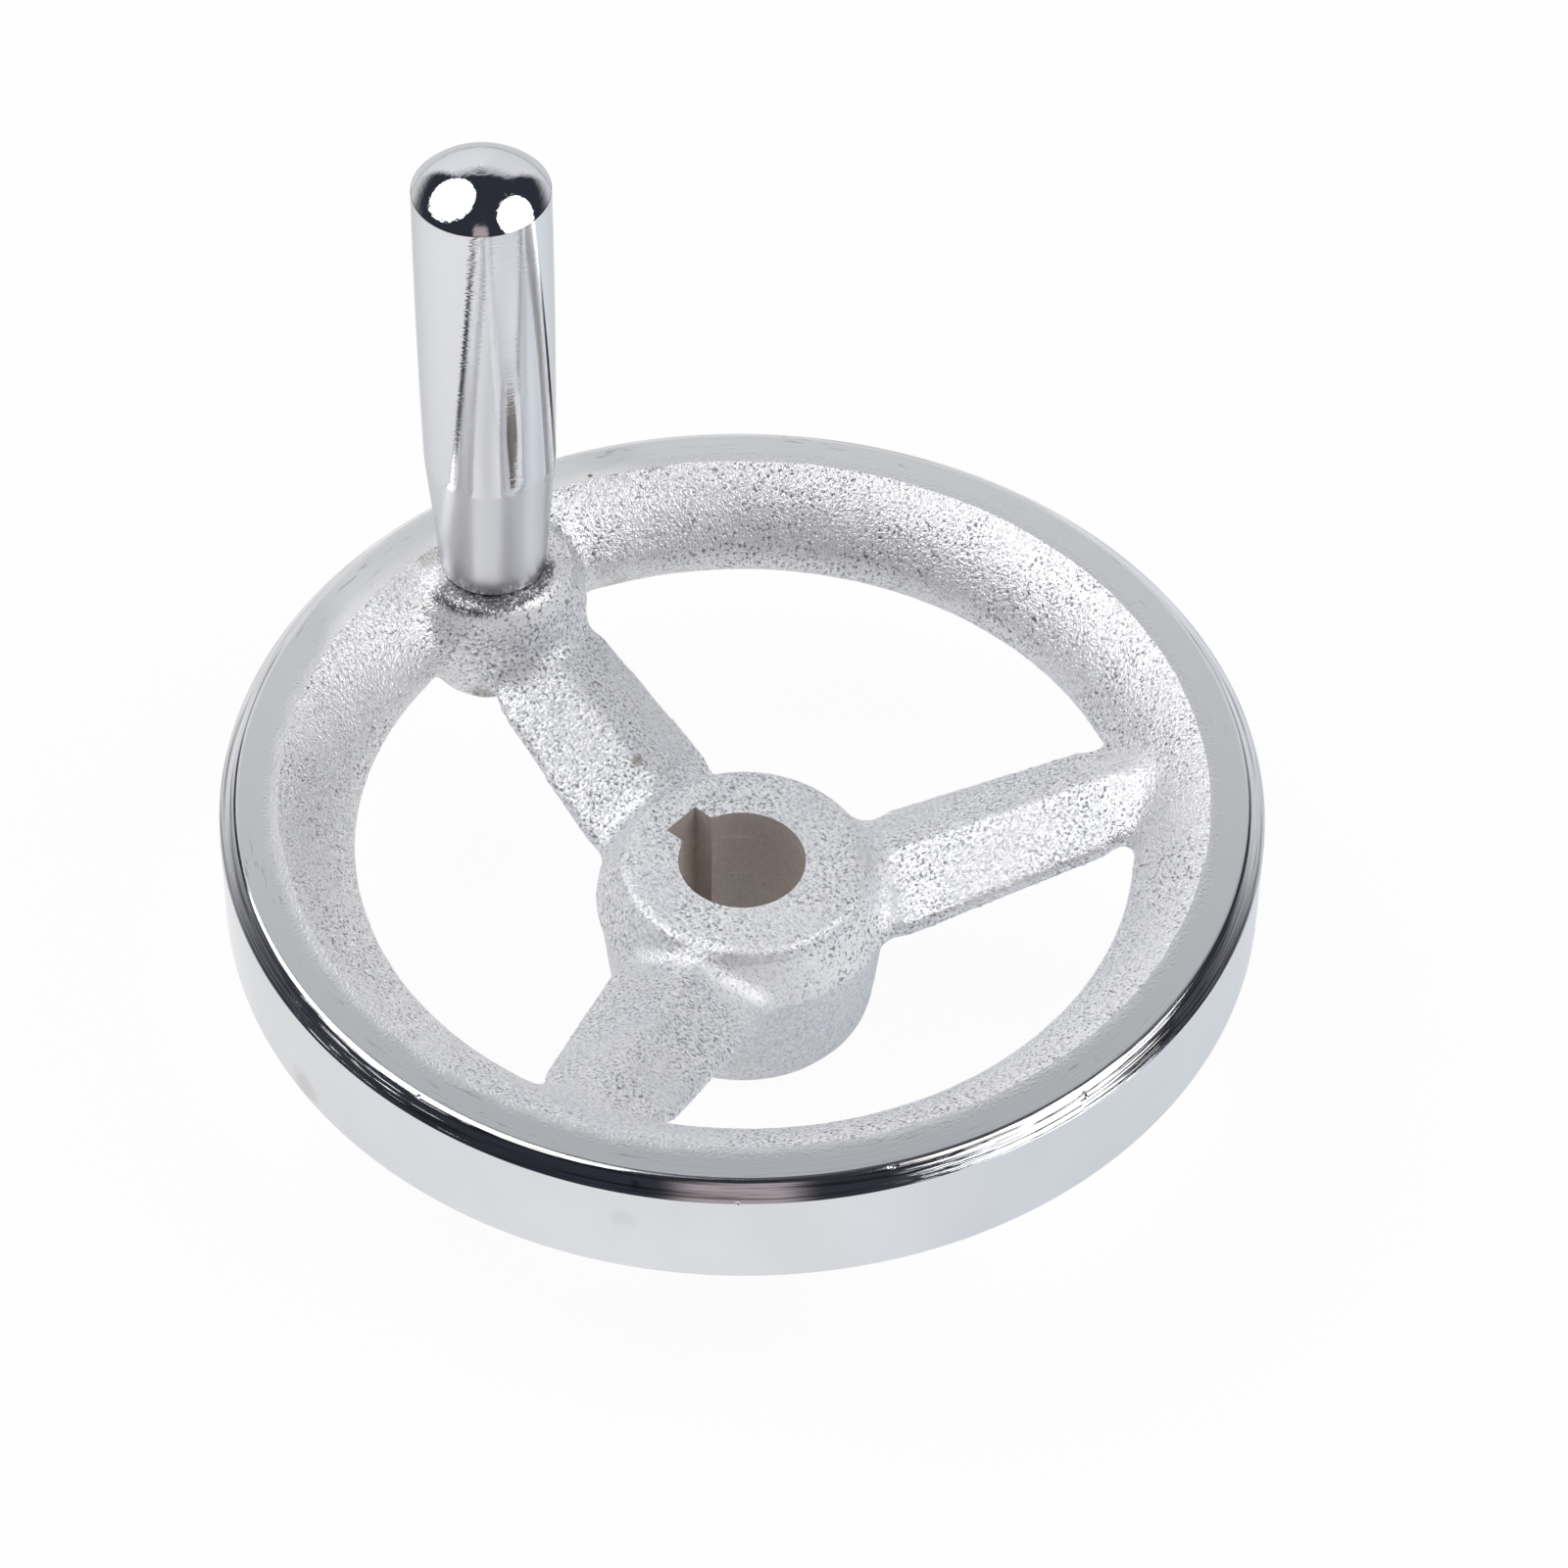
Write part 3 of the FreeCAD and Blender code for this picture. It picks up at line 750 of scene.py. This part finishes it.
def cast_chrome():
    """Chrome over a sand casting: grains of under half a millimetre, pitted dark or painted white as
    glints, with painted highlights and painted shade in places.
    """
    material, tree, shader, where = new_finish("cast_chrome", 0.68)
    grains = noise(tree, where, 3050, 2.0, 0.65)
    height = split(tree, where)[2]
    from_bore = from_axis(tree, where)
    from_grip = raised(tree, from_axis(tree, where, HANDLE_X - 0.1 * MM, 0.8 * MM), grains, 1.6 * MM)
    seat = painted_seat_shade(tree, where, height, from_grip)
    shoulder_highlight = painted_shoulder_highlight(tree, height, from_grip, from_bore)
    cone_highlight = painted_cone_highlight(tree, where, height, from_bore)
    flank_sheen = painted_flank_sheen(tree, where, from_bore)

    depth = raised(tree, raised(tree, 0.8, flank_sheen, 0.2), seat, -0.3)
    skin = bump(tree, noise(tree, where, 900, 1.0), 0.03 * MM)
    skin = bump(tree, grains, 0.14 * MM, raised(tree, depth, cone_highlight, 0.2), skin)
    skin = bump(tree, noise(tree, where, 5600, 1.0), 0.03 * MM, under=skin)
    link(tree, skin, shader, "Normal")

    ground = blend_colours(tree, between(tree, noise(tree, where, 90), 0.35, 0.7), CAST_COOL, CAST_PALE)
    # Painted highlight: the hub's cone away from the handle is made paler towards white
    ground = blend_colours(tree, product(tree, cone_highlight, 0.6), ground, WHITE)
    # Painted highlight: the boss's crown just outside the seat is made white
    ground = blend_colours(tree, shoulder_highlight, ground, WHITE)
    # Painted sheen: the rim's inner flank is made paler, apart from its front
    ground = blend_colours(tree, product(tree, flank_sheen, 0.5), ground, WHITE)
    # Painted shade: the seat round the grip's foot is darkened on the side towards the hub
    ground = blend_colours(tree, product(tree, seat, 0.9), ground, SEAT_PAINTED_SHADE)

    sandy = calc(tree, "SUBTRACT", between(tree, noise(tree, where, 130, 3.0), 0.34, 0.60),
                 smooth_hub(tree, height, from_bore), clamp=True)
    pocked = raised(tree, raised(tree, 0.3, flank_sheen, 0.1), sandy, 0.6)
    pocks = product(tree, outside(tree, between(tree, grains, 0.34, 0.46)), pocked)
    glints = product(tree, between(tree, grains, 0.51, 0.62), raised(tree, 0.5, sandy, 0.5),
                     raised(tree, 1.0, seat, -0.3))
    colour = blend_colours(tree, pocks, ground, CAST_POCK)
    # Painted glints: the highest grains are coloured white, as well as made smoother
    colour = blend_colours(tree, glints, colour, WHITE)
    link(tree, stain(tree, where, colour, CAST_STAINS), shader, "Base Color")

    satin = raised(tree, raised(tree, 0.50, flank_sheen, -0.12), glints, -0.22)
    link(tree, raised(tree, satin, seat, -0.12), shader, "Roughness")
    return material


def turned_chrome():
    """Chrome over turned iron: a mirror outside, streaked on the edge and satin on the land."""
    material, tree, shader, where = new_finish("turned_chrome")
    height = split(tree, where)[2]
    edge_foot = RIM_TOP - EDGE_HEIGHT
    on_land = between(tree, height, RIM_TOP - 0.06 * MM, RIM_TOP - 0.02 * MM)
    over_foot = between(tree, height, edge_foot - 0.02 * MM, edge_foot + 0.02 * MM)
    on_edge = calc(tree, "SUBTRACT", over_foot, on_land)
    # The casting's skin shows along the land's inner edge, where the cut runs out
    wavy = raised(tree, from_axis(tree, where), noise(tree, where, 420, 3.0), -1.2 * MM)
    skin_left = outside(tree, between(tree, wavy, LAND_INNER - 1.0 * MM, LAND_INNER + 0.8 * MM))
    lip = product(tree, on_land, skin_left)

    rings = noise(tree, around(tree, where, 5000, 1.2), 1.0)
    streaks = noise(tree, around(tree, where, 3200, 2.4), 1.0, 3.0, 0.6)
    skin = bump(tree, rings, 0.004 * MM)
    skin = bump(tree, streaks, 0.035 * MM, on_edge, skin)
    skin = bump(tree, noise(tree, where, 3200, 2.0, 0.65), 0.07 * MM, lip, skin)
    link(tree, skin, shader, "Normal")

    clouds = noise(tree, where, 60, 3.0)
    colour = blend_colours(tree, between(tree, clouds, 0.3, 0.75), TURNED_COOL, TURNED_PALE)
    streaked = product(tree, on_edge, between(tree, streaks, 0.50, 0.66))
    colour = blend_colours(tree, streaked, colour, EDGE_STREAK)
    colour = blend_colours(tree, on_land, colour, LAND_SATIN)
    scratches = between(tree, noise(tree, around(tree, where, 2600, 12), 1.0, 3.0, 0.7), 0.60, 0.68)
    handled = between(tree, noise(tree, where, 75), 0.44, 0.60)
    scratches = product(tree, scratches, handled, product(tree, on_land, 0.6))
    colour = blend_colours(tree, scratches, colour, LAND_SCRATCH)
    colour = blend_colours(tree, lip, colour, LIP_PALE)
    link(tree, stain(tree, where, colour, RIM_STAINS), shader, "Base Color")

    # The land is duller beside the handle
    dull = outside(tree, between(tree, from_axis(tree, where, HANDLE_X), 13 * MM, 22 * MM))
    satin = raised(tree, raised(tree, 0.05, clouds, 0.08), on_land, raised(tree, 0.12, dull, 0.36))
    link(tree, raised(tree, satin, lip, 0.15), shader, "Roughness")
    return material


def bored_iron():
    """The bore's wall: bare iron, brown-grey and sandy, with a few pale rings."""
    material, tree, shader, where = new_finish("bored_iron", 0.35)
    shader.inputs["Roughness"].default_value = 0.5
    rings = noise(tree, around(tree, where, 4200, 0.8), 1.0, 3.0, 0.7)
    sand = noise(tree, where, 2600)
    colour = blend_colours(tree, sand, BORE_DARK, BORE_PALE)
    colour = blend_colours(tree, between(tree, rings, 0.58, 0.72), colour, BORE_RING)
    link(tree, colour, shader, "Base Color")
    skin = bump(tree, rings, 0.006 * MM)
    link(tree, bump(tree, sand, 0.02 * MM, under=skin), shader, "Normal")
    return material


def polished_chrome():
    """The grip's chrome: polished on the dome, fine turning marks on the barrel, satin under the knee."""
    material, tree, shader, where = new_finish("polished_chrome")
    shader.inputs["Specular Tint"].default_value = GRIP_GRAZING
    height = split(tree, where)[2]
    under_knee = outside(tree, between(tree, height, KNEE_LEVEL - 0.4 * MM, KNEE_LEVEL))
    on_dome = between(tree, height, DOME_LEVEL - 0.05 * MM, DOME_LEVEL + 0.05 * MM)

    rings = noise(tree, around(tree, about_handle(tree, where), 4200, 0.6), 1.0)
    drawn = add(tree, "ShaderNodeMapping", {"Vector": where, "Rotation": (0, 0, 0.9),
                                            "Scale": (1, 0.15, 1)}).outputs[0]
    skin = bump(tree, rings, 0.010 * MM, outside(tree, product(tree, on_dome, 0.5)))
    skin = bump(tree, noise(tree, drawn, 3600), 0.010 * MM, on_dome, skin)
    link(tree, skin, shader, "Normal")

    clouds = noise(tree, where, 110)
    colour = blend_colours(tree, clouds, GRIP_COOL, GRIP_PALE)
    brim = band(tree, height, DOME_LEVEL - 0.05 * MM, DOME_LEVEL + 0.06 * MM, 0.06 * MM)
    colour = blend_colours(tree, product(tree, brim, 0.5), colour, BRIM_BROWN)
    link(tree, colour, shader, "Base Color")

    satin = raised(tree, raised(tree, 0.04, clouds, 0.03), under_knee, 0.24)
    link(tree, raised(tree, satin, on_dome, -0.02), shader, "Roughness")
    return material


def plain_steel(name, grey, roughness):
    """Bare steel for the pieces inside the grip."""
    material, tree, shader, where = new_finish(name)
    shader.inputs["Roughness"].default_value = roughness
    rings = noise(tree, around(tree, about_handle(tree, where), 3000, 0.8), 1.0)
    link(tree, bump(tree, rings, 0.01 * MM), shader, "Normal")
    dark = tuple(channel * 0.8 for channel in grey) + (1,)
    link(tree, blend_colours(tree, rings, dark, grey + (1,)), shader, "Base Color")
    return material


def dress_node(name, material):
    """Give a solid that stays its material."""
    node = frame["nodes"][name]
    node.data.materials.clear()
    node.data.materials.append(material)


# The studio

def set_camera():
    """The photograph's camera."""
    data = bpy.data.cameras.new("photo_camera")
    data.sensor_width = SENSOR_WIDTH
    data.lens = FOCAL_PIXELS / FRAME_SIDE * SENSOR_WIDTH
    data.clip_start = 0.01
    camera = bpy.data.objects.new("photo_camera", data)
    bpy.context.scene.collection.objects.link(camera)
    aim = (Matrix.Rotation(math.pi / 2 - CAMERA_HEIGHT_ANGLE, 3, "X")
           @ Matrix.Rotation(-CAMERA_YAW, 3, "Y")
           @ Matrix.Rotation(-CAMERA_PITCH, 3, "X")
           @ Matrix.Rotation(-CAMERA_ROLL, 3, "Z"))
    back = Vector((0, -math.cos(CAMERA_HEIGHT_ANGLE), math.sin(CAMERA_HEIGHT_ANGLE)))
    turn = Matrix.Rotation(-OBJECT_TURN, 3, "Z")
    camera.matrix_world = (Matrix.Translation(CAMERA_TARGET + turn @ back * CAMERA_DISTANCE)
                           @ (turn @ aim).to_4x4())
    bpy.context.scene.camera = camera


def set_floor():
    """A wide white floor that keeps the object's soft shadow, and that chrome shows dark far out."""
    bm = bmesh.new()
    bmesh.ops.create_grid(bm, x_segments=1, y_segments=1, size=3.0)
    floor = make_piece("floor", bm)
    material = bpy.data.materials.new("white_floor")
    material.use_nodes = True
    tree = material.node_tree
    tree.nodes.clear()
    path = add(tree, "ShaderNodeLightPath").outputs
    mirrored = path["Is Glossy Ray"]
    seen = calc(tree, "MAXIMUM", path["Is Camera Ray"], path["Is Transmission Ray"])
    glowing = raised(tree, product(tree, mirrored, 0.5), seen, 0.95)
    where = add(tree, "ShaderNodeTexCoord").outputs["Object"]
    beside = outside(tree, between(tree, facing(tree, where, PHOTO_FAR), 0.2, 0.6))
    far = product(tree, between(tree, from_axis(tree, where), 0.45, 0.85), beside, mirrored)
    cool = product(tree, between(tree, facing(tree, where, PHOTO_RIGHT), 0.0, 0.7), mirrored)
    matt = blend_colours(tree, far, FLOOR_PALE, FLOOR_DARK)
    glow = blend_colours(tree, far, blend_colours(tree, cool, WHITE, FLOOR_COOL), FLOOR_DARK)
    paint = add(tree, "ShaderNodeBsdfDiffuse", {"Color": matt})
    light = add(tree, "ShaderNodeEmission", {"Color": glow})
    mix = add(tree, "ShaderNodeMixShader", {0: glowing, 1: paint.outputs[0], 2: light.outputs[0]})
    add(tree, "ShaderNodeOutputMaterial", {"Surface": mix.outputs[0]})
    floor.data.materials.append(material)


def set_world():
    """A room that is dark overhead and pale low down, with a backdrop, and white to the camera."""
    world = bpy.data.worlds.new("studio")
    bpy.context.scene.world = world
    world.use_nodes = True
    tree = world.node_tree
    tree.nodes.clear()
    way = add(tree, "ShaderNodeTexCoord").outputs["Generated"]
    turned = add(tree, "ShaderNodeMapping", {"Vector": way, "Rotation": (0, 0, OBJECT_TURN)})
    side, away, up = split(tree, turned.outputs[0])
    least = 0.001

    # The backdrop stands behind the object, with its right half a little shaded
    behind = calc(tree, "MAXIMUM", away, least)
    across = calc(tree, "DIVIDE", side, behind)
    rise = calc(tree, "DIVIDE", up, behind)
    backdrop = product(tree, outside(tree, between(tree, calc(tree, "ABSOLUTE", across), 0.62, 0.85)),
                       outside(tree, between(tree, rise, 1.25, 1.65)))
    sheet = blend_colours(tree, between(tree, rise, 0.80, 1.30), BACKDROP_LOW, BACKDROP_HIGH)
    shaded = product(tree, between(tree, across, -0.02, 0.16), 0.15)
    sheet = blend_colours(tree, shaded, sheet, BACKDROP_SHADE)

    walls = blend_colours(tree, between(tree, away, 0.25, 0.60), WALL_NEAR, WALL_FAR)
    room = blend_colours(tree, between(tree, up, 0.0, 0.38), walls, CEILING_DARK)
    colour = blend_colours(tree, backdrop, room, sheet)

    # The room is a little warm on the camera's side
    before = calc(tree, "MAXIMUM", product(tree, away, -1.0), least)
    width = calc(tree, "ABSOLUTE", calc(tree, "DIVIDE", side, before))
    height = calc(tree, "DIVIDE", up, before)
    warm = product(tree, outside(tree, between(tree, width, 0.14, 0.30)),
                   outside(tree, between(tree, height, 1.1, 1.6)))
    colour = blend_colours(tree, warm, colour, BEFORE_WARM)

    path = add(tree, "ShaderNodeLightPath").outputs
    colour = blend_colours(tree, path["Is Camera Ray"], colour, WHITE)
    background = add(tree, "ShaderNodeBackground", {"Color": colour, "Strength": 1.0})
    add(tree, "ShaderNodeOutputWorld", {"Surface": background.outputs[0]})


def softbox(name, bearing, height_angle, width, depth, roll, brightness, distance=1.0):
    """A round softbox that faces the object, at a bearing in the photograph's frame."""
    data = bpy.data.lights.new(name, "AREA")
    data.shape = "ELLIPSE"
    data.size = width
    data.size_y = depth
    data.energy = brightness * math.pi * math.pi / 4 * width * depth
    lamp = bpy.data.objects.new(name, data)
    bpy.context.scene.collection.objects.link(lamp)
    bearing = math.radians(bearing) - OBJECT_TURN
    height_angle = math.radians(height_angle)
    way = Vector((math.cos(height_angle) * math.cos(bearing),
                  math.cos(height_angle) * math.sin(bearing),
                  math.sin(height_angle)))
    aim = way.to_track_quat("Z", "Y").to_matrix() @ Matrix.Rotation(math.radians(roll), 3, "Z")
    lamp.matrix_world = Matrix.Translation(CAMERA_TARGET + way * distance) @ aim.to_4x4()
    lamp.visible_camera = False


set_camera()
set_floor()
set_world()
softbox("softbox_left", bearing=170.5, height_angle=56.5, width=0.97, depth=0.92, roll=60.5,
        brightness=2.9)
softbox("softbox_right", bearing=-14.2, height_angle=49, width=0.92, depth=0.74, roll=-14,
        brightness=3.0)
bpy.context.scene.view_settings.view_transform = "Standard"

make_wheel(cast_chrome(), turned_chrome(), bored_iron())
make_grip(polished_chrome())
dress_node("handle_spindle", plain_steel("bright_steel", (0.55, 0.55, 0.56), 0.3))
dress_node("snap_ring", plain_steel("spring_steel", (0.32, 0.32, 0.33), 0.35))
